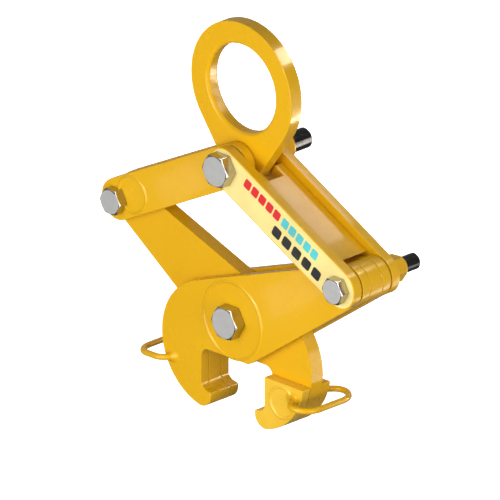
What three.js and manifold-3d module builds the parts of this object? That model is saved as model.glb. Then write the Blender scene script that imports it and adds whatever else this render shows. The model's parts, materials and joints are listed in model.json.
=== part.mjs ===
// A parallelogram beam clamp: a lifting eye, four links and arms on through bolts, and two hooked jaws
// that close on the head of a rail or beam as the eye is pulled up.
//
// Millimetres, +Z up, +X to the right, -Y towards the bolt heads. The design is drawn about the main
// pivot, where the two jaw arms cross, and the whole group is then lowered so that the origin is the
// centre of the eye's hole, in the mid-plane of the plates.

import * as THREE from "three";
import { mergeVertices } from "three/addons/utils/BufferGeometryUtils.js";
import Module from "manifold-3d";

const wasm = await Module();
wasm.setup();

// ---------------------------------------------------------------- driving dimensions

// The four pivots stand at the corners of a rhombus.
const HALF_SPAN = 152.5;
const HALF_RISE = 78.6;
const MAIN = { x: 0, z: 0 };
const LEFT = { x: -HALF_SPAN, z: HALF_RISE };
const RIGHT = { x: HALF_SPAN, z: HALF_RISE };
const TOP = { x: 0, z: 2 * HALF_RISE };
const LINK_LENGTH = Math.hypot(HALF_SPAN, HALF_RISE);
const LINK_ANGLE = Math.atan2(HALF_RISE, HALF_SPAN);

// How far the arms fold towards the links as the jaws open from where they are drawn.
const OPENING_FOLD = THREE.MathUtils.degToRad(16);

// Lifting eye.
const EYE_RISE = 73.7;
const EYE_RADIUS = 66.2;
const EYE_HOLE_RADIUS = 43.7;
const EYE_HOLE_CHAMFER = 2.5;
const EYE_NECK_RADIUS = 23;
const EYE_CENTRE = { x: 0, z: TOP.z + EYE_RISE };

// Five plates lie side by side along Y, with a running gap between neighbours.
const CENTRE_HALF = 7.5;
const RUNNING_GAP = 1;
const SIDE_PLATE = 10;
const SIDE_INNER = CENTRE_HALF + RUNNING_GAP;
const SIDE_OUTER = SIDE_INNER + SIDE_PLATE;
const CHEEK_GAP = 2;
const CHEEK_INNER = SIDE_OUTER + CHEEK_GAP;
const CHEEK_OUTER = CHEEK_INNER + SIDE_PLATE;
const SEAT_GAP = 0.3;

// Links.
const LEFT_LINK_RADIUS = 20.5;
const CHEEK_RADIUS = 20;
const WEB_THICKNESS = 10;
const WEB_RISE = 6.5;
const WEB_START = 24.5;
const WEB_ARM_GAP = 0.8;
const WEB_NOTCH_END = 38;
const WEB_NOTCH_HALF = 9.5;

// Jaw arms: a tapered lever that swells into a hooked jaw below the main pivot.
const ARM_END_RADIUS = 20;
const ARM_TOP_RADIUS = 42.6;
const ARM_UNDER_RADIUS = 44;
const JAW_CENTRE = { x: -29, z: -35 };
const JAW_RADIUS = 64.5;
const NOSE_RADIUS = 13;
const NOSE_DROP = { x: -13, z: -51 };
const NOSE_TIP = { x: -30, z: -82.2 };
const HOOK_ROOT = { x: -36.6, z: -80.5 };
const JAW_FACE = 41.5;
const JAW_FACE_FOOT = -75.5;
const HOOK_SLOPE = 1.5;
const THROAT_TOP = -39;
const THROAT_CORNER = 9;
const BLOCK_TOP = -45.3;

// Carrying handles: round bar, bent at four corners and welded to the jaws' outer faces. Each corner
// gives how far out along X and how far from the mid-plane the straight runs would meet.
const HANDLE_BAR = 3;
const HANDLE_WELD = 78.6;
const SHOULDER_BEND = 12.8;
const GRIP_BEND = 18;
const LEFT_HANDLE = { side: -1, shoulder: [86.9, 27.7], grip: [120.9, 23.8], rise: -59.8, slope: -0.079 };
const RIGHT_HANDLE = { side: 1, shoulder: [92.4, 37], grip: [112, 26.3], rise: -57.9, slope: -0.031 };
const HANDLE_LEVEL = 90;
const WELD_REACH = 40;

// Fasteners, by thread size: across flats, head height, nut and bush sizes.
const LARGE = { shank: 10, flats: 30, head: 12.2, washer: 19, nut: 15, collar: 13.5, collarRise: 4.4 };
const SMALL = { shank: 8, flats: 24, head: 9.8, washer: 15, nut: 13, collar: 10.8, collarRise: 4.2 };
const WASHER_THICKNESS = 3;
const BORE_GAP = 0.4;
const LARGE_TAIL = 25;
const SMALL_TAIL = 19;
const EYE_BUSH_WALL = 3.2;
const ARM_BUSH_WALL = 4;
const HEX_RIM_SHARE = 0.485;
const HEX_CHAMFER_ANGLE = THREE.MathUtils.degToRad(30);
const COLLAR_CHAMFER = 1.5;
const TIP_CHAMFER = 1.2;

// Facets.
const ARC_STEP = THREE.MathUtils.degToRad(6);
const ROUND_SIDES = 36;
const EYE_HOLE_SIDES = 60;
const BAR_SIDES = 10;
const BAR_STEPS = 44;

// How far a cutting or joined solid runs past the face that it meets, and how far a drill reaches
// on each side of the mid-plane.
const OVERRUN = 1;
const HOLE_REACH = CHEEK_OUTER + 10;

// ---------------------------------------------------------------- materials

const paint = () => new THREE.MeshStandardMaterial({ color: 0xf0b41e, roughness: 0.25, metalness: 0.05 });
const zinc = () => new THREE.MeshStandardMaterial({ color: 0xb8b8bc, roughness: 0.3, metalness: 0.9 });
const bronze = () => new THREE.MeshStandardMaterial({ color: 0xa9793f, roughness: 0.4, metalness: 0.8 });

// ---------------------------------------------------------------- solids and booleans

function toSolid(geometry) {
  const bare = geometry.index ? geometry.toNonIndexed() : geometry.clone();
  bare.deleteAttribute("normal");
  bare.deleteAttribute("uv");
  const merged = mergeVertices(bare, 1e-4);
  const mesh = new wasm.Mesh({
    numProp: 3,
    vertProperties: new Float32Array(merged.attributes.position.array),
    triVerts: new Uint32Array(merged.index.array),
  });
  return new wasm.Manifold(mesh);
}

function toGeometry(solid) {
  const mesh = solid.getMesh();
  const geometry = new THREE.BufferGeometry();
  geometry.setAttribute("position", new THREE.BufferAttribute(mesh.vertProperties, 3));
  geometry.setIndex(new THREE.BufferAttribute(mesh.triVerts, 1));
  geometry.computeVertexNormals();
  return geometry;
}

const cut = (body, ...tools) => tools.reduce((left, tool) => left.subtract(tool), body);

const join = (body, ...others) => others.reduce((sum, other) => sum.add(other), body);

// ---------------------------------------------------------------- outlines in the X-Z plane

const along = (centre, radius, angle) => ({
  x: centre.x + radius * Math.cos(angle),
  z: centre.z + radius * Math.sin(angle),
});

const angleTo = (centre, point) => Math.atan2(point.z - centre.z, point.x - centre.x);

// Points of an arc from one angle to another, both ends included.
function arc(centre, radius, from, to) {
  const count = Math.max(2, Math.ceil(Math.abs(to - from) / ARC_STEP));
  const points = [];
  for (let i = 0; i <= count; i++) {
    points.push(along(centre, radius, from + ((to - from) * i) / count));
  }
  return points;
}

// Angle of the normal, at both circles, of the straight edge that touches them on one side.
function tangentNormal(from, fromRadius, to, toRadius, side) {
  const spacing = Math.hypot(to.x - from.x, to.z - from.z);
  return angleTo(from, to) + side * Math.acos((fromRadius - toRadius) / spacing);
}

// A belt round two circles, counter-clockwise.
function beltOutline(a, aRadius, b, bRadius) {
  const left = tangentNormal(a, aRadius, b, bRadius, 1);
  const right = tangentNormal(a, aRadius, b, bRadius, -1);
  return [...arc(b, bRadius, right, left), ...arc(a, aRadius, left, right + 2 * Math.PI)];
}

function toShape(points) {
  return new THREE.Shape(points.map((p) => new THREE.Vector2(p.x, p.z)));
}

// A plate with this outline, from yLow to yHigh.
function plate(points, yLow, yHigh) {
  const geometry = new THREE.ExtrudeGeometry(toShape(points), {
    depth: yHigh - yLow,
    bevelEnabled: false,
    steps: 1,
  });
  geometry.rotateX(Math.PI / 2);
  geometry.translate(0, yHigh, 0);
  return toSolid(geometry);
}

// A solid turned about the Y line through a pivot. The profile is [radius, y] pairs with y rising.
function turned(pivot, profile, sides = ROUND_SIDES) {
  const points = profile.map(([radius, y]) => new THREE.Vector2(radius, y));
  const geometry = new THREE.LatheGeometry(points, sides);
  geometry.translate(pivot.x, 0, pivot.z);
  return toSolid(geometry);
}

const rod = (pivot, radius, yLow, yHigh) =>
  turned(pivot, [[0, yLow], [radius, yLow], [radius, yHigh], [0, yHigh]]);

// A round hole whose flats stay outside the stated radius.
const hole = (pivot, radius, reach = HOLE_REACH) =>
  rod(pivot, radius / Math.cos(Math.PI / ROUND_SIDES), -reach, reach);

const tube = (pivot, inner, outer, yLow, yHigh) => cut(rod(pivot, outer, yLow, yHigh), hole(pivot, inner));

const mirrored = (points) => points.map((p) => ({ x: -p.x, z: p.z })).reverse();

// ---------------------------------------------------------------- the jaw arm's outline

// Outline of the arm whose lever end is at the right pivot and whose jaw is on the left.
function armOutline() {
  const top = tangentNormal(RIGHT, ARM_END_RADIUS, MAIN, ARM_TOP_RADIUS, -1);
  const under = tangentNormal(RIGHT, ARM_END_RADIUS, MAIN, ARM_UNDER_RADIUS, 1);
  const noseLength = Math.hypot(NOSE_DROP.x, NOSE_DROP.z);
  const noseReach = (JAW_RADIUS - NOSE_RADIUS) / noseLength;
  const nose = {
    x: JAW_CENTRE.x + NOSE_DROP.x * noseReach,
    z: JAW_CENTRE.z + NOSE_DROP.z * noseReach,
  };
  const noseStart = Math.atan2(NOSE_DROP.z, NOSE_DROP.x);
  const corner = { x: -JAW_FACE + THROAT_CORNER, z: THROAT_TOP - THROAT_CORNER };
  const throatEnd = Math.asin(THROAT_TOP / ARM_UNDER_RADIUS);
  return [
    ...arc(RIGHT, ARM_END_RADIUS, under - 2 * Math.PI, top),
    ...arc(JAW_CENTRE, JAW_RADIUS, top, noseStart),
    ...arc(nose, NOSE_RADIUS, noseStart, angleTo(nose, NOSE_TIP)).slice(1),
    HOOK_ROOT,
    { x: -JAW_FACE + HOOK_SLOPE, z: (HOOK_ROOT.z + JAW_FACE_FOOT) / 2 },
    { x: -JAW_FACE, z: JAW_FACE_FOOT },
    ...arc(corner, THROAT_CORNER, Math.PI, Math.PI / 2),
    ...arc(MAIN, ARM_UNDER_RADIUS, throatEnd, under),
  ];
}

// The jaw alone, below a level top.
function jawOutline() {
  const half = Math.sqrt(JAW_RADIUS ** 2 - (BLOCK_TOP - JAW_CENTRE.z) ** 2);
  const left = JAW_CENTRE.x - half;
  const lower = armOutline().filter((p) => p.z < BLOCK_TOP - OVERRUN && p.x < 0);
  return [{ x: -JAW_FACE, z: BLOCK_TOP }, { x: left, z: BLOCK_TOP }, ...lower];
}

// ---------------------------------------------------------------- sub-parts

const clamp = new THREE.Group();
clamp.position.z = -EYE_CENTRE.z;

function addPart(name, solid, material) {
  const mesh = new THREE.Mesh(toGeometry(solid), material);
  mesh.name = name;
  clamp.add(mesh);
}

function liftingEye() {
  const blank = plate(
    beltOutline(TOP, EYE_NECK_RADIUS, EYE_CENTRE, EYE_RADIUS),
    -CENTRE_HALF,
    CENTRE_HALF,
  );
  const wide = EYE_HOLE_RADIUS + EYE_HOLE_CHAMFER;
  const flare = CENTRE_HALF - EYE_HOLE_CHAMFER;
  const opening = turned(EYE_CENTRE, [
    [0, -CENTRE_HALF - OVERRUN],
    [wide + OVERRUN, -CENTRE_HALF - OVERRUN],
    [EYE_HOLE_RADIUS, -flare],
    [EYE_HOLE_RADIUS, flare],
    [wide + OVERRUN, CENTRE_HALF + OVERRUN],
    [0, CENTRE_HALF + OVERRUN],
  ], EYE_HOLE_SIDES);
  const bushSeat = hole(TOP, LARGE.shank + SEAT_GAP + EYE_BUSH_WALL + SEAT_GAP);
  addPart("lifting_eye", cut(blank, opening, bushSeat), paint());
  addPart("eye_bush", bush(TOP, LARGE.shank, EYE_BUSH_WALL), bronze());
}

function bush(pivot, shank, wall) {
  const inner = shank + SEAT_GAP;
  return tube(pivot, inner, inner + wall, -CENTRE_HALF, CENTRE_HALF);
}

function leftLink() {
  const outline = beltOutline(TOP, LEFT_LINK_RADIUS, LEFT, LEFT_LINK_RADIUS);
  const holes = [hole(TOP, LARGE.shank + BORE_GAP), hole(LEFT, SMALL.shank + BORE_GAP)];
  addPart("left_link_front", cut(plate(outline, -SIDE_OUTER, -SIDE_INNER), ...holes), paint());
  addPart("left_link_rear", cut(plate(outline, SIDE_INNER, SIDE_OUTER), ...holes), paint());
}

// A point in the right link's own lines: how far from the top pivot, and how far above the middle.
const onRightLink = (run, rise) => ({
  x: TOP.x + run * Math.cos(LINK_ANGLE) + rise * Math.sin(LINK_ANGLE),
  z: TOP.z - run * Math.sin(LINK_ANGLE) + rise * Math.cos(LINK_ANGLE),
});

// The web's lower end slopes so that the arms' top edges lie along it when the jaws are fully open.
function webOutline() {
  const taper = Math.asin((ARM_TOP_RADIUS - ARM_END_RADIUS) / LINK_LENGTH);
  const slope = 2 * LINK_ANGLE - OPENING_FOLD - taper;
  const low = WEB_RISE - WEB_THICKNESS / 2;
  const high = WEB_RISE + WEB_THICKNESS / 2;
  const end = (rise) =>
    LINK_LENGTH - (ARM_END_RADIUS + WEB_ARM_GAP - rise * Math.cos(slope)) / Math.sin(slope);
  return [
    onRightLink(WEB_START, low),
    onRightLink(end(low), low),
    onRightLink(end(high), high),
    onRightLink(WEB_START, high),
  ];
}

function rightLink() {
  const outline = beltOutline(TOP, CHEEK_RADIUS, RIGHT, CHEEK_RADIUS);
  const holes = [hole(TOP, LARGE.shank + BORE_GAP), hole(RIGHT, SMALL.shank + BORE_GAP)];
  addPart("right_link_front_cheek", cut(plate(outline, -CHEEK_OUTER, -CHEEK_INNER), ...holes), paint());
  addPart("right_link_rear_cheek", cut(plate(outline, CHEEK_INNER, CHEEK_OUTER), ...holes), paint());
  const width = CHEEK_INNER - SEAT_GAP;
  const notch = [
    onRightLink(0, -CHEEK_RADIUS),
    onRightLink(WEB_NOTCH_END, -CHEEK_RADIUS),
    onRightLink(WEB_NOTCH_END, CHEEK_RADIUS),
    onRightLink(0, CHEEK_RADIUS),
  ];
  const web = cut(plate(webOutline(), -width, width), plate(notch, -WEB_NOTCH_HALF, WEB_NOTCH_HALF));
  addPart("right_link_web", web, paint());
}

function sideArms() {
  const holes = [hole(MAIN, LARGE.shank + BORE_GAP), hole(RIGHT, SMALL.shank + BORE_GAP)];
  const outline = armOutline();
  addPart("side_arm_front", cut(plate(outline, -SIDE_OUTER, -SIDE_INNER), ...holes), paint());
  addPart("side_arm_rear", cut(plate(outline, SIDE_INNER, SIDE_OUTER), ...holes), paint());
  const half = SIDE_INNER - SEAT_GAP;
  addPart("left_jaw_block", plate(jawOutline(), -half, half), paint());
  addPart("right_spacer_tube", tube(RIGHT, SMALL.shank + BORE_GAP, ARM_END_RADIUS, -half, half), paint());
}

function centreArm() {
  const seat = (size) => size.shank + SEAT_GAP + ARM_BUSH_WALL + SEAT_GAP;
  const holes = [hole(MAIN, seat(LARGE)), hole(LEFT, seat(SMALL))];
  addPart("centre_arm", cut(plate(mirrored(armOutline()), -CENTRE_HALF, CENTRE_HALF), ...holes), paint());
  addPart("main_bush", bush(MAIN, LARGE.shank, ARM_BUSH_WALL), bronze());
  addPart("left_bush", bush(LEFT, SMALL.shank, ARM_BUSH_WALL), bronze());
  const outline = mirrored(jawOutline());
  const seatInner = CENTRE_HALF + SEAT_GAP;
  addPart("right_jaw_front_block", plate(outline, -SIDE_OUTER, -seatInner), paint());
  addPart("right_jaw_rear_block", plate(outline, seatInner, SIDE_OUTER), paint());
}

// A path through these corners, each rounded by its own radius.
function roundedPath(points, radii) {
  const path = new THREE.Path();
  path.moveTo(points[0].x, points[0].y);
  for (let i = 1; i < points.length - 1; i++) {
    const back = points[i - 1].clone().sub(points[i]).normalize();
    const ahead = points[i + 1].clone().sub(points[i]).normalize();
    const half = Math.acos(back.dot(ahead)) / 2;
    const radius = radii[i - 1];
    const start = points[i].clone().addScaledVector(back, radius / Math.tan(half));
    const end = points[i].clone().addScaledVector(ahead, radius / Math.tan(half));
    const inward = back.add(ahead).normalize();
    const centre = points[i].clone().addScaledVector(inward, radius / Math.sin(half));
    path.lineTo(start.x, start.y);
    path.absarc(centre.x, centre.y, radius, start.sub(centre).angle(), end.sub(centre).angle(), false);
  }
  path.lineTo(points.at(-1).x, points.at(-1).y);
  return path;
}

// Centre line of a bent handle: out of the jaw's front face, round the grip and back.
class HandleLine extends THREE.Curve {
  constructor(handle) {
    super();
    const { shoulder, grip } = handle;
    const lean = (shoulder[0] - HANDLE_WELD) / (shoulder[1] - SIDE_OUTER);
    const root = [HANDLE_WELD - lean * HANDLE_BAR, SIDE_OUTER - HANDLE_BAR];
    const front = [root, shoulder, grip];
    const corners = [
      ...front.map(([out, y]) => new THREE.Vector2(out, -y)),
      ...front.reverse().map(([out, y]) => new THREE.Vector2(out, y)),
    ];
    this.handle = handle;
    this.plan = roundedPath(corners, [SHOULDER_BEND, GRIP_BEND, GRIP_BEND, SHOULDER_BEND]);
  }

  getPoint(t, target = new THREE.Vector3()) {
    const { side, rise, slope } = this.handle;
    const plan = this.plan.getPointAt(t);
    return target.set(side * plan.x, plan.y, rise + slope * (plan.x - HANDLE_LEVEL));
  }
}

function handleBar(handle) {
  const section = new THREE.Shape();
  for (let i = 0; i < BAR_SIDES; i++) {
    const angle = (2 * Math.PI * i) / BAR_SIDES;
    const point = [HANDLE_BAR * Math.cos(angle), HANDLE_BAR * Math.sin(angle)];
    if (i === 0) section.moveTo(...point);
    else section.lineTo(...point);
  }
  section.closePath();
  const geometry = new THREE.ExtrudeGeometry(section, {
    steps: BAR_STEPS,
    extrudePath: new HandleLine(handle),
  });
  const face = SIDE_OUTER + SEAT_GAP;
  const jaw = new THREE.BoxGeometry(WELD_REACH, 2 * face, WELD_REACH);
  jaw.translate(handle.side * HANDLE_WELD, 0, handle.rise);
  return cut(toSolid(geometry), toSolid(jaw));
}

// ---------------------------------------------------------------- fasteners

// A six-sided prism along Y with a corner on +X, its far edges rounded off by a turned chamfer.
function hexagon(pivot, flats, yLow, yHigh, chamferLow, chamferHigh) {
  const corner = flats / Math.sqrt(3);
  const points = [];
  for (let i = 0; i < 6; i++) points.push(along(pivot, corner, (i * Math.PI) / 3));
  const prism = plate(points, yLow, yHigh);
  const rim = flats * HEX_RIM_SHARE;
  const fall = (corner - rim) * Math.tan(HEX_CHAMFER_ANGLE);
  const low = chamferLow ? [[rim, yLow], [corner, yLow + fall]] : [[corner, yLow]];
  const high = chamferHigh ? [[corner, yHigh - fall], [rim, yHigh]] : [[corner, yHigh]];
  return prism.intersect(turned(pivot, [[0, yLow], ...low, ...high, [0, yHigh]]));
}

// A bolt with its head in front of the plates, a washer and a collared lock nut behind them.
function fastener(name, pivot, size, face, tail) {
  const seat = -face - SEAT_GAP;
  const washerLow = face + SEAT_GAP;
  const nutLow = washerLow + WASHER_THICKNESS + SEAT_GAP;
  const nutHigh = nutLow + size.nut;
  const collarHigh = nutHigh + size.collarRise;
  const tip = collarHigh + tail;
  const shank = turned(pivot, [
    [0, seat - OVERRUN],
    [size.shank, seat - OVERRUN],
    [size.shank, tip - TIP_CHAMFER],
    [size.shank - TIP_CHAMFER, tip],
    [0, tip],
  ]);
  const head = hexagon(pivot, size.flats, seat - size.head, seat, true, false);
  addPart(name + "_bolt", join(head, shank), zinc());

  const bore = size.shank + SEAT_GAP;
  const washer = tube(pivot, bore, size.washer, washerLow, washerLow + WASHER_THICKNESS);
  addPart(name + "_washer", washer, paint());

  const collar = turned(pivot, [
    [0, nutHigh - OVERRUN],
    [size.collar, nutHigh - OVERRUN],
    [size.collar, collarHigh - COLLAR_CHAMFER],
    [size.collar - COLLAR_CHAMFER, collarHigh],
    [0, collarHigh],
  ]);
  const body = hexagon(pivot, size.flats, nutLow, nutHigh, false, true);
  addPart(name + "_nut", cut(join(body, collar), hole(pivot, bore, tip)), paint());
}

// ---------------------------------------------------------------- assembly

liftingEye();
leftLink();
rightLink();
sideArms();
centreArm();
addPart("left_handle", handleBar(LEFT_HANDLE), paint());
addPart("right_handle", handleBar(RIGHT_HANDLE), paint());
fastener("top", TOP, LARGE, CHEEK_OUTER, LARGE_TAIL);
fastener("right", RIGHT, SMALL, CHEEK_OUTER, SMALL_TAIL);
fastener("left", LEFT, SMALL, SIDE_OUTER, SMALL_TAIL);
fastener("main", MAIN, LARGE, SIDE_OUTER, LARGE_TAIL);

export default clamp;
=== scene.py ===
import json
from math import cos, pi, radians, sin, sqrt, tan

import bmesh
import bpy
from bpy.props import FloatProperty, FloatVectorProperty, IntProperty, PointerProperty
from bpy.types import Operator, Panel, PropertyGroup
from mathutils import Matrix, Vector


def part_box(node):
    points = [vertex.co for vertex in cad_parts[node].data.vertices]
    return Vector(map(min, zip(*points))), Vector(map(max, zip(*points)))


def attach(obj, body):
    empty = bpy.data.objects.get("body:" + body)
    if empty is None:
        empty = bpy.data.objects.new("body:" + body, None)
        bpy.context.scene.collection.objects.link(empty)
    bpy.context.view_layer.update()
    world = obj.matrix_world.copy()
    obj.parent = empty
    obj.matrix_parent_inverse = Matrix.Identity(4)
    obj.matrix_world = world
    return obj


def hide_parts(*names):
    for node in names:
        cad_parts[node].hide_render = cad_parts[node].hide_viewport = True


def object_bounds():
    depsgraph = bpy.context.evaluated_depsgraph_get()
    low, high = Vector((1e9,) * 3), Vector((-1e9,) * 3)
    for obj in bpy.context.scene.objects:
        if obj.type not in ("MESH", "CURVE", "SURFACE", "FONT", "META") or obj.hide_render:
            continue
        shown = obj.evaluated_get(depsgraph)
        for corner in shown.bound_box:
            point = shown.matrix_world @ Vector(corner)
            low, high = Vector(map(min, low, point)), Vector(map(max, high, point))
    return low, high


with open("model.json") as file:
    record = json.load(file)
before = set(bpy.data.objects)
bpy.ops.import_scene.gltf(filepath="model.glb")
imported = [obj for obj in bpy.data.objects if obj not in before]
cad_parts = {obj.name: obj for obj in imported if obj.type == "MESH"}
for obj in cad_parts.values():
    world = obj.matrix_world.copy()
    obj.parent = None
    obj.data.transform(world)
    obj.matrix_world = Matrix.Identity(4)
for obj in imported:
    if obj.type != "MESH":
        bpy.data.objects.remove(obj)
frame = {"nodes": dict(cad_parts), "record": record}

bl_info = {
    "name": "Beam clamp",
    "version": (1, 0, 0),
    "blender": (4, 5, 0),
    "location": "3D View > Sidebar > Beam clamp",
    "description": "Painted plates, fasteners, handles and markings of a parallelogram beam clamp",
    "category": "Object",
}

CAD_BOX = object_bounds()
BODY_OF = {
    node: body
    for body, nodes in frame["record"]["behaviour"]["bodies"].items()
    for node in nodes
}
UP = Vector((0, 0, 1))
ACROSS = Vector((0, 1, 0))
MERGE_DISTANCE = 1e-6
FLAT_ANGLE = radians(1)
EDGE_ANGLE = radians(25)
SHARP_ANGLE = radians(40)
FINE_SEGMENTS = 2


def middle(node):
    low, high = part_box(node)
    return (low + high) / 2


TOP_PIVOT = middle("eye_bush")
LEFT_PIVOT = middle("left_bush")
RIGHT_PIVOT = middle("right_spacer_tube")
MAIN_PIVOT = middle("main_bush")
LINK_RUN = (RIGHT_PIVOT - TOP_PIVOT).normalized()
LINK_RISE = Vector((-LINK_RUN.z, 0, LINK_RUN.x))

PLATES = (
    "lifting_eye",
    "left_link_front",
    "left_link_rear",
    "right_link_front_cheek",
    "right_link_rear_cheek",
    "right_link_web",
    "centre_arm",
    "side_arm_front",
    "side_arm_rear",
    "left_jaw_block",
    "right_jaw_front_block",
    "right_jaw_rear_block",
    "right_spacer_tube",
)


# ---------------------------------------------------------------- sizes and colours


class PlateSettings(PropertyGroup):
    edge_radius: FloatProperty(
        name="Edge radius",
        description="Rounding of the ground edges of every plate",
        default=0.0009,
        unit="LENGTH",
    )
    edge_segments: IntProperty(
        name="Edge segments",
        description="Facets across one rounded edge",
        default=3,
    )


class PaintSettings(PropertyGroup):
    yellow: FloatVectorProperty(
        name="Yellow",
        description="Enamel on the plates",
        default=(0.79, 0.44, 0.007),
        subtype="COLOR",
    )
    deep_yellow: FloatVectorProperty(
        name="Deep yellow",
        description="Where the enamel lies thicker",
        default=(0.77, 0.42, 0.006),
        subtype="COLOR",
    )
    # Pale yellow: a paler enamel, used on the right front jaw block and its embossed ring.
    pale_yellow: FloatVectorProperty(
        name="Pale yellow",
        description="Paler enamel on the jaw block that carries the right handle",
        default=(0.9, 0.56, 0.05),
        subtype="COLOR",
    )
    peel: FloatProperty(
        name="Orange peel",
        description="Height of the enamel's ripples",
        default=0.00001,
        unit="LENGTH",
    )


class FastenerSettings(PropertyGroup):
    rim_share: FloatProperty(
        name="Rim share",
        description="Radius of a hexagon's flat end as a share of its width across flats",
        default=0.485,
    )
    seat_gap: FloatProperty(
        name="Seat gap",
        description="Clearance between a bolt head and the plate under it",
        default=0.0003,
        unit="LENGTH",
    )
    edge_radius: FloatProperty(
        name="Edge radius",
        description="Rounding of hexagon corners, washers and bushes",
        default=0.0004,
        unit="LENGTH",
    )
    collar_chamfer: FloatProperty(
        name="Collar chamfer",
        description="Chamfer on the lock nut's collar",
        default=0.0015,
        unit="LENGTH",
    )
    tip_chamfer: FloatProperty(
        name="Tip chamfer",
        description="Chamfer on the bolt's free end",
        default=0.0012,
        unit="LENGTH",
    )
    sides: IntProperty(
        name="Sides",
        description="Facets round every turned piece",
        default=72,
    )


class HandleSettings(PropertyGroup):
    bar_radius: FloatProperty(
        name="Bar radius",
        description="Radius of the handles' round bar",
        default=0.003,
        unit="LENGTH",
    )
    shoulder_bend: FloatProperty(
        name="Shoulder bend",
        description="Centre-line radius where a leg turns outwards, near the jaw",
        default=0.0128,
        unit="LENGTH",
    )
    grip_bend: FloatProperty(
        name="Grip bend",
        description="Centre-line radius at each end of the grip",
        default=0.018,
        unit="LENGTH",
    )
    weld_out: FloatProperty(
        name="Weld position",
        description="How far out from the main pivot the legs meet the jaw",
        default=0.0786,
        unit="LENGTH",
    )
    weld_radius: FloatProperty(
        name="Weld radius",
        description="Hollow of the weld round each leg",
        default=0.0042,
        unit="LENGTH",
    )


class MarkSettings(PropertyGroup):
    ring_height: FloatProperty(
        name="Ring height",
        description="How far the embossed rings stand out",
        default=0.00115,
        unit="LENGTH",
    )
    flank: FloatProperty(
        name="Ring flank",
        description="Width of each sloping flank of an embossed ring",
        default=0.0015,
        unit="LENGTH",
    )
    foil_margin: FloatProperty(
        name="Foil margin",
        description="Painted border left round the label",
        default=0.0012,
        unit="LENGTH",
    )
    foil_thickness: FloatProperty(
        name="Foil thickness",
        description="Thickness of the label and of its print",
        default=0.00012,
        unit="LENGTH",
    )
    foil: FloatVectorProperty(
        name="Foil",
        description="Pale ground of the label",
        default=(0.95, 0.78, 0.3),
        subtype="COLOR",
    )
    red: FloatVectorProperty(
        name="Red print",
        description="Upper row of printed blocks",
        default=(0.8, 0.02, 0.03),
        subtype="COLOR",
    )
    cyan: FloatVectorProperty(
        name="Cyan print",
        description="Middle row of printed blocks",
        default=(0.1, 0.62, 0.66),
        subtype="COLOR",
    )
    dark: FloatVectorProperty(
        name="Dark print",
        description="Lower row of printed blocks",
        default=(0.02, 0.02, 0.022),
        subtype="COLOR",
    )


class StageSettings(PropertyGroup):
    azimuth: FloatProperty(
        name="Azimuth",
        description="Camera's turn from straight ahead",
        default=radians(44.8),
        subtype="ANGLE",
    )
    elevation: FloatProperty(
        name="Elevation",
        description="Camera's height above level",
        default=radians(22.13),
        subtype="ANGLE",
    )
    frame_width: FloatProperty(
        name="Frame width",
        description="Width that the camera takes in",
        default=0.46805,
        unit="LENGTH",
    )
    floor_drop: FloatProperty(
        name="Floor drop",
        description="Gap between the jaws and the floor",
        default=0.12,
        unit="LENGTH",
    )


# ---------------------------------------------------------------- building pieces


def add_piece(name, bm, body, materials, stands_for=()):
    """Turns a bmesh into a shown piece that rides on a body."""
    bmesh.ops.recalc_face_normals(bm, faces=bm.faces)
    mesh = bpy.data.meshes.new(name)
    bm.to_mesh(mesh)
    bm.free()
    mesh.shade_smooth()
    mesh.set_sharp_from_angle(angle=SHARP_ANGLE)
    for material in materials:
        mesh.materials.append(material)
    piece = bpy.data.objects.new(name, mesh)
    bpy.context.scene.collection.objects.link(piece)
    normals = piece.modifiers.new("weighted_normals", "WEIGHTED_NORMAL")
    normals.keep_sharp = True
    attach(piece, body)
    if stands_for:
        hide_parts(*stands_for)
    return piece


def merged_copy(node):
    """A copy of a CAD node with its triangles joined into whole flat faces."""
    bm = bmesh.new()
    bm.from_mesh(frame["nodes"][node].data)
    bmesh.ops.remove_doubles(bm, verts=bm.verts, dist=MERGE_DISTANCE)
    bmesh.ops.dissolve_limit(bm, angle_limit=FLAT_ANGLE, verts=bm.verts, edges=bm.edges)
    return bm


def round_edges(bm, edges, radius, segments):
    bmesh.ops.bevel(
        bm,
        geom=edges,
        offset=radius,
        offset_type="OFFSET",
        segments=segments,
        profile=0.5,
        affect="EDGES",
        clamp_overlap=True,
        material=-1,
    )


def corner_edges(bm):
    return [e for e in bm.edges if e.is_manifold and e.calc_face_angle() > EDGE_ANGLE]


def turned(bm, pivot, profile, sides, closed=False):
    """Spins a profile of (radius, y) pairs about the line through a pivot, across the plates."""
    verts = [bm.verts.new((pivot.x + radius, y, pivot.z)) for radius, y in profile]
    ends = verts[1:] + verts[:1] if closed else verts[1:]
    edges = [bm.edges.new(pair) for pair in zip(verts, ends)]
    bmesh.ops.spin(
        bm,
        geom=verts + edges,
        cent=pivot,
        axis=ACROSS,
        angle=2 * pi,
        steps=sides,
        use_merge=True,
        use_duplicate=False,
    )
    bmesh.ops.remove_doubles(bm, verts=bm.verts, dist=MERGE_DISTANCE)


def cut_to_hexagon(bm, pivot, flats):
    """Planes six flats on everything that stands out past them, with a corner on the X line."""
    for i in range(6):
        angle = pi / 6 + i * pi / 3
        outward = Vector((cos(angle), 0, sin(angle)))
        found = bmesh.ops.bisect_plane(
            bm,
            geom=bm.verts[:] + bm.edges[:] + bm.faces[:],
            dist=MERGE_DISTANCE,
            plane_co=pivot + outward * flats / 2,
            plane_no=outward,
            clear_outer=True,
        )
        rim = [e for e in found["geom_cut"] if isinstance(e, bmesh.types.BMEdge)]
        bmesh.ops.contextual_create(bm, geom=rim)
    bmesh.ops.dissolve_limit(bm, angle_limit=FLAT_ANGLE, verts=bm.verts, edges=bm.edges)


def edges_across(bm):
    """The sharp straight edges that run across the plates."""
    nearly_along = cos(radians(8))
    return [
        e
        for e in corner_edges(bm)
        if abs((e.verts[1].co - e.verts[0].co).normalized().dot(ACROSS)) > nearly_along
    ]


# ---------------------------------------------------------------- materials


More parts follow.
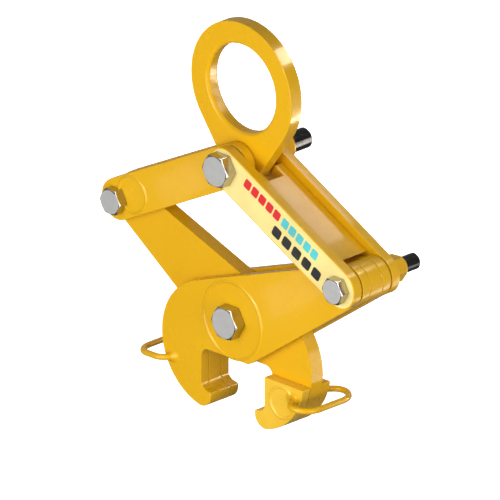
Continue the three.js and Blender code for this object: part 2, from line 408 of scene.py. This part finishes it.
class Recipe:
    """A node material with one Principled shader."""

    def __init__(self, name, **settings):
        self.material = bpy.data.materials.new(name)
        self.material.use_nodes = True
        self.tree = self.material.node_tree
        self.shader = self.tree.nodes["Principled BSDF"]
        for socket, value in settings.items():
            self.shader.inputs[socket.replace("_", " ")].default_value = value
        coordinates = self.tree.nodes.new("ShaderNodeTexCoord")
        self.place = coordinates.outputs["Object"]

    def link(self, output, node_input):
        self.tree.links.new(output, node_input)

    def noise(self, scale, detail=3.0, stretch=(1, 1, 1), roughness=0.55):
        mapping = self.tree.nodes.new("ShaderNodeMapping")
        mapping.inputs["Scale"].default_value = stretch
        self.link(self.place, mapping.inputs["Vector"])
        noise = self.tree.nodes.new("ShaderNodeTexNoise")
        noise.inputs["Scale"].default_value = scale
        noise.inputs["Detail"].default_value = detail
        noise.inputs["Roughness"].default_value = roughness
        self.link(mapping.outputs["Vector"], noise.inputs["Vector"])
        return noise.outputs["Fac"]

    def spread(self, value, low, high, source=(0.35, 0.65)):
        """Maps the middle of a noise to a range of numbers."""
        ranged = self.tree.nodes.new("ShaderNodeMapRange")
        ranged.inputs["From Min"].default_value = source[0]
        ranged.inputs["From Max"].default_value = source[1]
        ranged.inputs["To Min"].default_value = low
        ranged.inputs["To Max"].default_value = high
        self.link(value, ranged.inputs["Value"])
        return ranged.outputs["Result"]

    def blend(self, factor, first, second):
        mix = self.tree.nodes.new("ShaderNodeMix")
        mix.data_type = "RGBA"
        for socket, colour in (("A", first), ("B", second)):
            entry = next(i for i in mix.inputs if i.name == socket and i.type == "RGBA")
            if isinstance(colour, bpy.types.NodeSocket):
                self.link(colour, entry)
            else:
                entry.default_value = (*colour, 1)
        self.link(factor, mix.inputs["Factor"])
        return next(o for o in mix.outputs if o.type == "RGBA")

    def bump(self, height, distance, strength=1.0, under=None):
        bump = self.tree.nodes.new("ShaderNodeBump")
        bump.inputs["Distance"].default_value = distance
        bump.inputs["Strength"].default_value = strength
        self.link(height, bump.inputs["Height"])
        if under is not None:
            self.link(under, bump.inputs["Normal"])
        return bump.outputs["Normal"]

    def finish(self, colour=None, roughness=None, normal=None):
        for output, socket in (
            (colour, "Base Color"),
            (roughness, "Roughness"),
            (normal, "Normal"),
        ):
            if output is not None:
                self.link(output, self.shader.inputs[socket])
        return self.material


def enamel(name, main, deep, gloss=(0.2, 0.3)):
    """Gloss enamel with slow drifts of depth and fine orange peel."""
    peel = bpy.context.scene.clamp_paint.peel
    recipe = Recipe(
        name,
        IOR=1.5,
        Specular_IOR_Level=0.32,
        Specular_Tint=(1.0, 0.86, 0.6, 1.0),
        Coat_Weight=0.25,
        Coat_Roughness=0.06,
        Coat_IOR=1.4,
    )
    drift = recipe.spread(recipe.noise(9.0, 4.0), 0.0, 1.0)
    ripple = recipe.noise(700.0, 2.0)
    sag = recipe.noise(90.0, 3.0)
    colour = recipe.blend(drift, main, deep)
    shine = recipe.spread(recipe.noise(45.0, 6.0), *gloss)
    normal = recipe.bump(ripple, peel)
    normal = recipe.bump(sag, peel * 3, under=normal)
    return recipe.finish(colour, shine, normal)


def zinc_plate():
    """Bright zinc plating with faint cloudy patches and fine turning marks."""
    recipe = Recipe("zinc_plate", Metallic=1.0, IOR=1.5)
    cloud = recipe.spread(recipe.noise(120.0, 5.0), 0.0, 1.0)
    colour = recipe.blend(cloud, (0.5, 0.465, 0.43), (0.42, 0.39, 0.36))
    shine = recipe.spread(recipe.noise(300.0, 4.0), 0.16, 0.26)
    marks = recipe.noise(900.0, 2.0, stretch=(1, 0.12, 1))
    return recipe.finish(colour, shine, recipe.bump(marks, 0.000004))


def matt_zinc():
    """The end face of a bolt head, an even soft grey: a painted reflection of grey surroundings on the same
    plated zinc.
    """
    recipe = Recipe("matt_zinc", Metallic=0.3, IOR=1.5, Specular_IOR_Level=0.3)
    cloud = recipe.spread(recipe.noise(150.0, 5.0), 0.0, 1.0)
    colour = recipe.blend(cloud, (0.5, 0.5, 0.505), (0.46, 0.46, 0.465))
    shine = recipe.spread(recipe.noise(350.0, 4.0), 0.42, 0.55)
    return recipe.finish(colour, shine, recipe.bump(recipe.noise(1600.0, 2.0), 0.00001))


def black_steel():
    """Near-black polished steel for the bolt tails, a painted dark reflection, with an oily, slightly uneven
    shine.
    """
    recipe = Recipe("black_steel", IOR=1.5, Specular_IOR_Level=0.25)
    film = recipe.spread(recipe.noise(150.0, 4.0), 0.0, 1.0)
    colour = recipe.blend(film, (0.006, 0.006, 0.007), (0.014, 0.013, 0.013))
    shine = recipe.spread(recipe.noise(260.0, 4.0), 0.1, 0.22)
    marks = recipe.noise(800.0, 2.0, stretch=(1, 0.1, 1))
    return recipe.finish(colour, shine, recipe.bump(marks, 0.00001))


def bronze():
    """Sintered bearing bronze, fine-grained and a little stained."""
    recipe = Recipe("bronze", Metallic=1.0, IOR=1.5)
    stain = recipe.spread(recipe.noise(160.0, 5.0), 0.0, 1.0)
    colour = recipe.blend(stain, (0.45, 0.24, 0.09), (0.3, 0.16, 0.06))
    shine = recipe.spread(recipe.noise(500.0, 3.0), 0.3, 0.48)
    return recipe.finish(colour, shine, recipe.bump(recipe.noise(1800.0, 2.0), 0.00002))


def print_film(name, colour, worn, shine=(0.3, 0.42)):
    """Screen-printed ink or foil with a slight fade and a fine grain."""
    recipe = Recipe(name, IOR=1.45, Specular_IOR_Level=0.35)
    fade = recipe.spread(recipe.noise(30.0, 4.0), 0.0, 1.0)
    tone = recipe.blend(fade, colour, worn)
    rough = recipe.spread(recipe.noise(400.0, 3.0), *shine)
    return recipe.finish(tone, rough, recipe.bump(recipe.noise(1500.0, 2.0), 0.00001))


STAGE_GLOW = 0.8


def stage_white():
    """Pale floor paint with a glow, so that no shadow greys it."""
    recipe = Recipe("stage_white", IOR=1.3, Roughness=0.9, Specular_IOR_Level=0.0)
    recipe.shader.inputs["Emission Color"].default_value = (1, 1, 1, 1)
    recipe.shader.inputs["Emission Strength"].default_value = STAGE_GLOW
    tone = recipe.blend(recipe.noise(3.0, 2.0), (0.93, 0.93, 0.93), (0.95, 0.95, 0.95))
    return recipe.finish(tone)


def shared(name, maker, *arguments, **settings):
    """One copy of each material, made when it is first wanted."""
    return bpy.data.materials.get(name) or maker(*arguments, **settings)


def yellow_enamel():
    paint = bpy.context.scene.clamp_paint
    return shared("yellow_enamel", enamel, "yellow_enamel", paint.yellow, paint.deep_yellow)


def pale_enamel():
    paint = bpy.context.scene.clamp_paint
    return shared("pale_enamel", enamel, "pale_enamel", paint.pale_yellow, paint.yellow)


# ---------------------------------------------------------------- operators


class CLAMP_OT_plates(Operator):
    """Give every plate, block and spacer its rounded edges and enamel"""

    bl_idname = "clamp.plates"
    bl_label = "Painted plates"

    def execute(self, context):
        sizes = context.scene.clamp_plates
        for node in PLATES:
            bm = merged_copy(node)
            round_edges(bm, corner_edges(bm), sizes.edge_radius, sizes.edge_segments)
            paint = pale_enamel() if node == "right_jaw_front_block" else yellow_enamel()
            add_piece(node + "_painted", bm, BODY_OF[node], [paint], [node])
        return {"FINISHED"}


# Thread sizes: the radii of the shank and of the nut's collar, and how far the collar stands out.
LARGE = {"shank": 0.010, "collar": 0.0135, "collar_rise": 0.0044}
SMALL = {"shank": 0.008, "collar": 0.0108, "collar_rise": 0.0042}

# Each fastener's pivot, the plate under its head, and its thread size.
FASTENERS = {
    "top": (TOP_PIVOT, "right_link_front_cheek", LARGE),
    "right": (RIGHT_PIVOT, "right_link_front_cheek", SMALL),
    "left": (LEFT_PIVOT, "left_link_front", SMALL),
    "main": (MAIN_PIVOT, "side_arm_front", LARGE),
}


def hexagon_size(node):
    """Width across flats of a hexagon whose corners stand on the X line."""
    low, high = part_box(node)
    return (high.x - low.x) * sqrt(3) / 2


def chamfer_fall(flats, rim_share):
    """How far a hexagon's corners fall away from its flat end, at 30 degrees."""
    return (flats / sqrt(3) - flats * rim_share) * tan(pi / 6)


# Material slots of a bolt, after the plated sides of its head: the black tail and the grey end face are
# painted reflections.
TAIL_SLOT = 1
FACE_SLOT = 2


class CLAMP_OT_bolts(Operator):
    """Turn the four through bolts, hexagon heads in zinc and free ends in black painted dark reflection"""

    bl_idname = "clamp.bolts"
    bl_label = "Bolts"

    def execute(self, context):
        sizes = context.scene.clamp_fasteners
        for name, (pivot, plate, thread) in FASTENERS.items():
            node = name + "_bolt"
            low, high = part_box(node)
            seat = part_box(plate)[0].y - sizes.seat_gap
            flats = hexagon_size(node)
            corner = flats / sqrt(3)
            rim = flats * sizes.rim_share
            shank = thread["shank"]
            chamfer = sizes.tip_chamfer
            bm = bmesh.new()
            turned(bm, pivot, [
                (0, low.y),
                (rim, low.y),
                (corner, low.y + chamfer_fall(flats, sizes.rim_share)),
                (corner, seat),
                (shank, seat),
                (shank, high.y - chamfer),
                (shank - chamfer, high.y),
                (0, high.y),
            ], sizes.sides)
            cut_to_hexagon(bm, pivot, flats)
            round_edges(bm, edges_across(bm), sizes.edge_radius, FINE_SEGMENTS)
            self.split_tail(bm, pivot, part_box(name + "_nut")[0].y)
            # The flat end face takes the pale grey material, a painted reflection of grey surroundings.
            for face in bm.faces:
                if face.calc_center_median().y < low.y + MERGE_DISTANCE:
                    face.material_index = FACE_SLOT
            metals = [
                shared("zinc_plate", zinc_plate),
                shared("black_steel", black_steel),
                shared("matt_zinc", matt_zinc),
            ]
            add_piece(name + "_bolt_turned", bm, BODY_OF[node], metals, [node])
        return {"FINISHED"}

    @staticmethod
    def split_tail(bm, pivot, tail):
        """Ends the black painted dark reflection in a clean ring under the nut."""
        bmesh.ops.bisect_plane(
            bm,
            geom=bm.verts[:] + bm.edges[:] + bm.faces[:],
            dist=MERGE_DISTANCE,
            plane_co=(pivot.x, tail, pivot.z),
            plane_no=ACROSS,
        )
        for face in bm.faces:
            if face.calc_center_median().y > tail:
                face.material_index = TAIL_SLOT


class CLAMP_OT_nuts(Operator):
    """Turn the collared lock nuts, the washers and the bearing bushes"""

    bl_idname = "clamp.nuts"
    bl_label = "Nuts, washers and bushes"

    def execute(self, context):
        sizes = context.scene.clamp_fasteners
        for name, (pivot, _plate, thread) in FASTENERS.items():
            self.nut(sizes, name + "_nut", pivot, thread)
            bore = thread["shank"] + sizes.seat_gap
            self.ring(sizes, name + "_washer", pivot, bore, "yellow_paint", yellow_enamel())
        for name in ("eye", "left", "main"):
            pivot = middle(name + "_bush")
            bore = (SMALL if name == "left" else LARGE)["shank"] + sizes.seat_gap
            self.ring(sizes, name + "_bush", pivot, bore, "bronze", shared("bronze", bronze))
        return {"FINISHED"}

    @staticmethod
    def nut(sizes, node, pivot, thread):
        low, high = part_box(node)
        flats = hexagon_size(node)
        corner = flats / sqrt(3)
        rim = flats * sizes.rim_share
        bore = thread["shank"] + sizes.seat_gap
        collar = thread["collar"]
        shoulder = high.y - thread["collar_rise"]
        bm = bmesh.new()
        turned(bm, pivot, [
            (bore, low.y),
            (corner, low.y),
            (corner, shoulder - chamfer_fall(flats, sizes.rim_share)),
            (rim, shoulder),
            (collar, shoulder),
            (collar, high.y - sizes.collar_chamfer),
            (collar - sizes.collar_chamfer, high.y),
            (bore, high.y),
        ], sizes.sides, closed=True)
        cut_to_hexagon(bm, pivot, flats)
        round_edges(bm, edges_across(bm), sizes.edge_radius, FINE_SEGMENTS)
        add_piece(node + "_turned", bm, BODY_OF[node], [yellow_enamel()], [node])

    @staticmethod
    def ring(sizes, node, pivot, bore, slot, material):
        low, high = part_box(node)
        outer = (high.x - low.x) / 2
        bm = bmesh.new()
        profile = [(bore, low.y), (outer, low.y), (outer, high.y), (bore, high.y)]
        turned(bm, pivot, profile, sizes.sides, closed=True)
        round_edges(bm, corner_edges(bm), sizes.edge_radius, FINE_SEGMENTS)
        add_piece(node + "_turned", bm, BODY_OF[node], [material], [node])


# Handles, measured from the main pivot: the side, where the straight runs would meet at the shoulder
# and at the grip (out along X, and from the mid-plane), and the height and slope of the handle.
HANDLES = {
    "left_handle": {
        "side": -1,
        "shoulder": (0.0869, 0.0277),
        "grip": (0.1209, 0.0238),
        "rise": -0.0598,
        "slope": -0.079,
    },
    "right_handle": {
        "side": 1,
        "shoulder": (0.0924, 0.0370),
        "grip": (0.1120, 0.0263),
        "rise": -0.0579,
        "slope": -0.031,
    },
}
HANDLE_LEVEL = 0.09
BAR_SIDES = 20
BEND_STEPS = 10
WELD_STEPS = 8


def straight(bm, loop, move):
    """Draws a ring of edges along a straight line and gives the new ring."""
    made = bmesh.ops.extrude_edge_only(bm, edges=loop)["geom"]
    verts = {v for v in made if isinstance(v, bmesh.types.BMVert)}
    bmesh.ops.translate(bm, verts=list(verts), vec=move)
    return [e for e in made if isinstance(e, bmesh.types.BMEdge) and set(e.verts) <= verts]


def bend(bm, loop, centre, angle, steps):
    """Draws a ring of edges round a bend and gives the new ring."""
    verts = list({v for e in loop for v in e.verts})
    made = bmesh.ops.spin(
        bm,
        geom=verts + loop,
        cent=centre,
        axis=UP,
        angle=angle,
        steps=steps,
        use_merge=False,
        use_duplicate=False,
    )["geom_last"]
    return [e for e in made if isinstance(e, bmesh.types.BMEdge)]


def handle_place(handle):
    """From a handle's own level plan to the clamp's frame."""
    slope = Matrix.Identity(4)
    slope[2][0] = handle["slope"]
    slope[2][3] = -handle["slope"] * HANDLE_LEVEL
    mirror = Matrix.Diagonal((handle["side"], 1, 1, 1))
    return Matrix.Translation(MAIN_PIVOT + UP * handle["rise"]) @ mirror @ slope


class CLAMP_OT_handles(Operator):
    """Bend the two carrying handles and lay the welds that hold them to the jaws"""

    bl_idname = "clamp.handles"
    bl_label = "Handles"

    def execute(self, context):
        sizes = context.scene.clamp_handles
        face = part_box("side_arm_rear")[1].y
        for node, handle in HANDLES.items():
            shoulder = handle["shoulder"]
            lean = (shoulder[0] - sizes.weld_out) / (shoulder[1] - face)
            bm = bmesh.new()
            self.bar(bm, sizes, handle, face, lean)
            bmesh.ops.transform(bm, matrix=handle_place(handle), verts=bm.verts)
            add_piece(node + "_bar", bm, BODY_OF[node], [yellow_enamel()], [node])
            bm = bmesh.new()
            self.weld(bm, sizes, face, lean)
            bmesh.ops.transform(bm, matrix=handle_place(handle), verts=bm.verts)
            add_piece(node + "_welds", bm, BODY_OF[node], [yellow_enamel()])
        return {"FINISHED"}

    @staticmethod
    def bar(bm, sizes, handle, face, lean):
        """Draws a round section out of the front of the jaw, round four bends and back."""
        bar = sizes.bar_radius
        front = [(sizes.weld_out - lean * bar, face - bar), handle["shoulder"], handle["grip"]]
        corners = [Vector((out, -y, 0)) for out, y in front]
        corners += [Vector((out, y, 0)) for out, y in reversed(front)]
        place = corners[0]
        turn = (corners[1] - place).to_track_quat("Z", "Y").to_matrix().to_4x4()
        section = Matrix.Translation(place) @ turn
        made = bmesh.ops.create_circle(
            bm, cap_ends=False, segments=BAR_SIDES, radius=bar, matrix=section
        )
        loop = list({e for v in made["verts"] for e in v.link_edges})
        ends = list(loop)
        radii = (sizes.shoulder_bend, sizes.grip_bend, sizes.grip_bend, sizes.shoulder_bend)
        for before, corner, after, radius in zip(corners, corners[1:], corners[2:], radii):
            heading = (corner - before).normalized()
            onward = (after - corner).normalized()
            angle = heading.angle(onward)
            setback = radius * tan(angle / 2)
            start = corner - heading * setback
            loop = straight(bm, loop, start - place)
            loop = bend(bm, loop, start + UP.cross(heading) * radius, angle, BEND_STEPS)
            place = corner + onward * setback
        loop = straight(bm, loop, corners[-1] - place)
        bmesh.ops.contextual_create(bm, geom=ends)
        bmesh.ops.contextual_create(bm, geom=loop)

    @staticmethod
    def weld(bm, sizes, face, lean):
        """Hollow fillets round both legs, standing on the jaw's faces and leaning with the legs."""
        inner = sizes.bar_radius
        throat = sizes.weld_radius
        buried = inner / 10
        bite = inner * 0.8
        hollow = [
            (inner + throat * (1 - cos(a)), -throat * (1 - sin(a)))
            for a in (i * pi / 2 / WELD_STEPS for i in range(WELD_STEPS + 1))
        ]
        foot = [(inner + throat, buried), (bite, buried), (bite, -throat)]
        turned(bm, Vector(), hollow + foot, BAR_SIDES * 2, closed=True)
        leaning = Matrix.Identity(4)
        leaning[0][0] = sqrt(1 + lean * lean)
        leaning[0][1] = -lean
        leaning[0][3] = sizes.weld_out
        leaning[1][3] = -face
        bmesh.ops.transform(bm, matrix=leaning, verts=bm.verts)
        rear = bmesh.ops.duplicate(bm, geom=bm.verts[:] + bm.edges[:] + bm.faces[:])["geom"]
        rear_verts = [v for v in rear if isinstance(v, bmesh.types.BMVert)]
        bmesh.ops.scale(bm, vec=(1, -1, 1), verts=rear_verts)


# Embossed rings: the plate, where the ring's middle lies, and the radius of its ridge.
RINGS = {
    "side_arm_ring": ("side_arm_front", MAIN_PIVOT, 0.038),
    "left_link_ring": ("left_link_front", LEFT_PIVOT.lerp(TOP_PIVOT, 0.134), 0.0178),
    "right_block_ring": ("right_jaw_front_block", MAIN_PIVOT + Vector((0.0655, 0, -0.0645)), 0.0155),
}
RING_SIDES = 96


class CLAMP_OT_rings(Operator):
    """Raise the embossed rings on the front plates"""

    bl_idname = "clamp.rings"
    bl_label = "Embossed rings"

    def execute(self, context):
        marks = context.scene.clamp_marks
        for name, (node, centre, radius) in RINGS.items():
            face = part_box(node)[0].y
            paint = pale_enamel() if node == "right_jaw_front_block" else yellow_enamel()
            bm = bmesh.new()
            self.ridge(bm, marks, centre, radius, face)
            add_piece(name, bm, BODY_OF[node], [paint])
        return {"FINISHED"}

    @staticmethod
    def ridge(bm, marks, centre, radius, face):
        """A ring with sloping flanks and a narrow flat back, standing on a plate's front face."""
        top = face - marks.ring_height
        back = marks.flank / 5
        foot = back + marks.flank
        buried = face + marks.ring_height / 4
        profile = [
            (radius - foot, buried),
            (radius - foot, face),
            (radius - back, top),
            (radius + back, top),
            (radius + foot, face),
            (radius + foot, buried),
        ]
        turned(bm, centre, profile, RING_SIDES, closed=True)


# Print on the label, a row of rounded blocks for each ink: where the row starts along the link from
# the top pivot, the step and length of a block, and how far its edges lie above the middle line.
PRINT_ROWS = {
    "red": {"start": 0.0275, "pitch": 0.0108, "count": 5, "block": 0.0088, "low": 0.003, "high": 0.0128},
    "cyan": {"start": 0.083, "pitch": 0.0108, "count": 5, "block": 0.0088, "low": 0.0028, "high": 0.0128},
    "dark": {"start": 0.0775, "pitch": 0.0146, "count": 5, "block": 0.0112, "low": -0.0135, "high": -0.0025},
}
CORNER_SHARE = 0.2
CORNER_SEGMENTS = 4
INK_WEAR = 0.8
FOIL_WEAR = 0.9


def faded(colour, share, haze=0.0):
    """A worn tone of a print colour, darker by a share and lifted by a little haze."""
    return tuple(share * channel + haze for channel in colour)


class CLAMP_OT_label(Operator):
    """Stick the printed foil on the front cheek"""

    bl_idname = "clamp.label"
    bl_label = "Label"

    def execute(self, context):
        marks = context.scene.clamp_marks
        node = "right_link_front_cheek"
        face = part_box(node)[0].y
        bm = merged_copy(node)
        rest = [f for f in bm.faces if f.calc_center_median().y > face + MERGE_DISTANCE]
        bmesh.ops.delete(bm, geom=rest, context="FACES")
        border = bmesh.ops.inset_region(
            bm,
            faces=bm.faces,
            thickness=marks.foil_margin,
            use_even_offset=True,
            use_boundary=True,
        )["faces"]
        bmesh.ops.delete(bm, geom=border, context="FACES")
        bmesh.ops.solidify(bm, geom=bm.faces, thickness=marks.foil_thickness)
        front = min(v.co.y for v in bm.verts)
        bmesh.ops.translate(bm, verts=bm.verts, vec=ACROSS * (face - front - marks.foil_thickness))
        worn = faded(marks.foil, FOIL_WEAR)
        foil = shared("label_foil", print_film, "label_foil", marks.foil, worn)
        add_piece("label_foil", bm, BODY_OF[node], [foil])
        for ink, row in PRINT_ROWS.items():
            self.print_row(marks, node, ink, row, face - marks.foil_thickness)
        return {"FINISHED"}

    @staticmethod
    def print_row(marks, node, ink, row, face):
        bm = bmesh.new()
        middle_rise = (row["low"] + row["high"]) / 2
        turn = Matrix((LINK_RUN, ACROSS, LINK_RISE)).transposed().to_4x4()
        for i in range(row["count"]):
            along = row["start"] + i * row["pitch"] + row["block"] / 2
            centre = TOP_PIVOT + LINK_RUN * along + LINK_RISE * middle_rise
            centre.y = face - marks.foil_thickness / 2
            size = Matrix.Diagonal((row["block"], marks.foil_thickness, row["high"] - row["low"], 1))
            bmesh.ops.create_cube(bm, size=1, matrix=Matrix.Translation(centre) @ turn @ size)
        round_edges(bm, edges_across(bm), row["block"] * CORNER_SHARE, CORNER_SEGMENTS)
        colour = getattr(marks, ink)
        worn = faded(colour, INK_WEAR, haze=0.02)
        material = shared(ink + "_print", print_film, ink + "_print", colour, worn)
        add_piece(ink + "_print_blocks", bm, BODY_OF[node], [material])


def aim(thing, target, along=None):
    """Turns a camera or lamp, which look down their own -Z, towards a point, with X on a line."""
    back = (thing.location - target).normalized()
    side = UP.cross(back) if along is None else along - along.dot(back) * back
    side.normalize()
    thing.rotation_euler = Matrix((side, back.cross(side), back)).transposed().to_euler()


# Soft boxes: where each stands, what it faces, the line of its long side, its length and width, its
# strength and tint. The large ones light the paint, and the small ones show only as reflections.
SOFT_BOXES = {
    "key_box": {
        "place": (0.12, -1.6, -0.1), "faces": (0, 0, -0.16), "along": (1, 0, 0), "size": (1.5, 1.5),
        "power": 30.5, "tint": (1.0, 0.99, 0.97), "paints": True, "shines": True,
    },
    "side_box": {
        "place": (1.5, -0.35, -0.1), "faces": (0, 0, -0.16), "along": (0, 1, 0), "size": (0.9, 0.9),
        "power": 13, "tint": (1.0, 0.99, 0.97), "paints": True, "shines": True,
    },
    "back_box": {
        "place": (-0.8, 1.4, -0.1), "faces": (0, 0, -0.16), "along": (1, 0, 0), "size": (1.2, 1.2),
        "power": 24, "tint": (1.0, 0.99, 0.97), "paints": True, "shines": False,
    },
    "eye_glint_box": {
        "place": (0.257, 0.33, 0.343), "faces": (0.048, 0, 0.045), "along": (-0.81, 0, 0.59),
        "size": (0.21, 0.07), "power": 1.3, "tint": (1.0, 0.93, 0.82), "paints": False, "shines": True,
    },
    "eye_hole_glint_box": {
        "place": (0.275, 0.33, -0.17), "faces": (-0.04, 0, 0.01), "along": (0, 0, 1),
        "size": (0.3, 0.07), "power": 1.3, "tint": (1.0, 0.93, 0.82), "paints": False, "shines": True,
    },
    "web_glint_box": {
        "place": (0.063, 0.1, 0.015), "faces": (-0.0745, 0.1, -0.252), "along": (0.89, 0, -0.46),
        "size": (0.1, 0.03), "power": 0.072, "tint": (1.0, 0.9, 0.92), "paints": False, "shines": True,
    },
    "jaw_glint_box": {
        "place": (0.257, 0.165, -0.298), "faces": (0.0935, 0, -0.266), "along": (0.1, 0, 0.45),
        "size": (0.2, 0.05), "power": 0.15, "tint": (1.0, 0.93, 0.82), "paints": False, "shines": True,
    },
    "ring_glint_box": {
        "place": (0.19, -0.87, 0.22), "faces": (0, 0, -0.23), "along": (1, 0, 0), "size": (0.3, 0.25),
        "power": 3.0, "tint": (1.0, 0.96, 0.88), "paints": False, "shines": True,
    },
    "left_link_band_box": {
        "place": (-0.284, -0.2485, -0.235), "faces": (-0.284, 0, -0.235), "along": (0.83, 0, 0.555),
        "size": (0.1, 0.03), "power": 0.02, "tint": (1.0, 0.95, 0.85), "paints": False, "shines": True,
    },
    "side_arm_band_box": {
        "place": (-0.143, -0.2485, -0.308), "faces": (-0.143, 0, -0.308), "along": (0.83, 0, 0.555),
        "size": (0.1, 0.03), "power": 0.02, "tint": (1.0, 0.95, 0.85), "paints": False, "shines": True,
    },
}
AMBIENT_ABOVE = 0.36
AMBIENT_BELOW = 0.14
BACKDROP_WHITE = 1.1
LOOK_AT = Vector((0.00461, 0, -0.1638))
CAMERA_DISTANCE = 2
FLOOR_HALF = 4


class CLAMP_OT_stage(Operator):
    """Set up the floor, the lamps, the surroundings and the camera"""

    bl_idname = "clamp.stage"
    bl_label = "Stage"

    def execute(self, context):
        stage = context.scene.clamp_stage
        self.camera(context, stage)
        self.floor(context, stage)
        for name, box in SOFT_BOXES.items():
            self.lamp(context, name, box)
        self.surroundings(context)
        context.scene.view_settings.view_transform = "Standard"
        return {"FINISHED"}

    @staticmethod
    def camera(context, stage):
        camera = bpy.data.cameras.new("camera")
        camera.type = "ORTHO"
        camera.ortho_scale = stage.frame_width
        camera.clip_start = 0.01
        camera.clip_end = 20
        eye = bpy.data.objects.new("camera", camera)
        level = cos(stage.elevation)
        back = Vector((sin(stage.azimuth) * level, -cos(stage.azimuth) * level, sin(stage.elevation)))
        eye.location = LOOK_AT + back * CAMERA_DISTANCE
        aim(eye, LOOK_AT)
        context.scene.collection.objects.link(eye)
        context.scene.camera = eye

    @staticmethod
    def floor(context, stage):
        level = CAD_BOX[0][2] - stage.floor_drop
        bm = bmesh.new()
        place = Matrix.Translation(UP * level)
        bmesh.ops.create_grid(bm, x_segments=1, y_segments=1, size=FLOOR_HALF, matrix=place)
        mesh = bpy.data.meshes.new("floor")
        bm.to_mesh(mesh)
        bm.free()
        mesh.materials.append(stage_white())
        floor = bpy.data.objects.new("floor", mesh)
        floor.visible_diffuse = False
        floor.visible_glossy = False
        context.scene.collection.objects.link(floor)

    @staticmethod
    def lamp(context, name, box):
        light = bpy.data.lights.new(name, "AREA")
        light.shape = "RECTANGLE"
        light.size, light.size_y = box["size"]
        light.energy = box["power"]
        light.color = box["tint"]
        lamp = bpy.data.objects.new(name, light)
        lamp.location = box["place"]
        aim(lamp, Vector(box["faces"]), Vector(box["along"]))
        lamp.visible_camera = False
        lamp.visible_diffuse = box["paints"]
        lamp.visible_glossy = box["shines"]
        context.scene.collection.objects.link(lamp)

    @staticmethod
    def surroundings(context):
        """A white backdrop, and a dimmer room that lights the clamp more from above than below."""
        world = bpy.data.worlds.new("studio")
        context.scene.world = world
        world.use_nodes = True
        tree = world.node_tree
        backdrop = tree.nodes["Background"]
        backdrop.inputs["Color"].default_value = (1, 1, 1, 1)
        backdrop.inputs["Strength"].default_value = BACKDROP_WHITE
        room = tree.nodes.new("ShaderNodeBackground")
        room.inputs["Color"].default_value = (1, 1, 1, 1)
        direction = tree.nodes.new("ShaderNodeTexCoord")
        split = tree.nodes.new("ShaderNodeSeparateXYZ")
        height = tree.nodes.new("ShaderNodeMapRange")
        height.inputs["From Min"].default_value = -1
        height.inputs["To Min"].default_value = AMBIENT_BELOW
        height.inputs["To Max"].default_value = AMBIENT_ABOVE
        chooser = tree.nodes.new("ShaderNodeMixShader")
        rays = tree.nodes.new("ShaderNodeLightPath")
        tree.links.new(direction.outputs["Generated"], split.inputs["Vector"])
        tree.links.new(split.outputs["Z"], height.inputs["Value"])
        tree.links.new(height.outputs["Result"], room.inputs["Strength"])
        tree.links.new(rays.outputs["Is Camera Ray"], chooser.inputs["Fac"])
        tree.links.new(room.outputs["Background"], chooser.inputs[1])
        tree.links.new(backdrop.outputs["Background"], chooser.inputs[2])
        tree.links.new(chooser.outputs["Shader"], tree.nodes["World Output"].inputs["Surface"])


# ---------------------------------------------------------------- panel and registration


class CLAMP_PT_builder(Panel):
    """Lists the steps that build the clamp's looks"""

    bl_idname = "CLAMP_PT_builder"
    bl_label = "Beam clamp"
    bl_space_type = "VIEW_3D"
    bl_region_type = "UI"
    bl_category = "Beam clamp"

    def draw(self, context):
        for name, group in SETTINGS.items():
            box = self.layout.box()
            for entry in group.__annotations__:
                box.prop(getattr(context.scene, name), entry)
        for operator in OPERATORS:
            self.layout.operator(operator.bl_idname)


SETTINGS = {
    "clamp_plates": PlateSettings,
    "clamp_paint": PaintSettings,
    "clamp_fasteners": FastenerSettings,
    "clamp_handles": HandleSettings,
    "clamp_marks": MarkSettings,
    "clamp_stage": StageSettings,
}
OPERATORS = (
    CLAMP_OT_stage,
    CLAMP_OT_plates,
    CLAMP_OT_bolts,
    CLAMP_OT_nuts,
    CLAMP_OT_handles,
    CLAMP_OT_rings,
    CLAMP_OT_label,
)


def register():
    for name, group in SETTINGS.items():
        bpy.utils.register_class(group)
        setattr(bpy.types.Scene, name, PointerProperty(type=group))
    for cls in (*OPERATORS, CLAMP_PT_builder):
        bpy.utils.register_class(cls)


def unregister():
    for cls in reversed((*OPERATORS, CLAMP_PT_builder)):
        bpy.utils.unregister_class(cls)
    for name, group in reversed(SETTINGS.items()):
        delattr(bpy.types.Scene, name)
        bpy.utils.unregister_class(group)


def main():
    register()
    bpy.ops.clamp.stage()
    bpy.ops.clamp.plates()
    bpy.ops.clamp.bolts()
    bpy.ops.clamp.nuts()
    bpy.ops.clamp.handles()
    bpy.ops.clamp.rings()
    bpy.ops.clamp.label()
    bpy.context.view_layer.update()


if __name__ == "__main__":
    main()
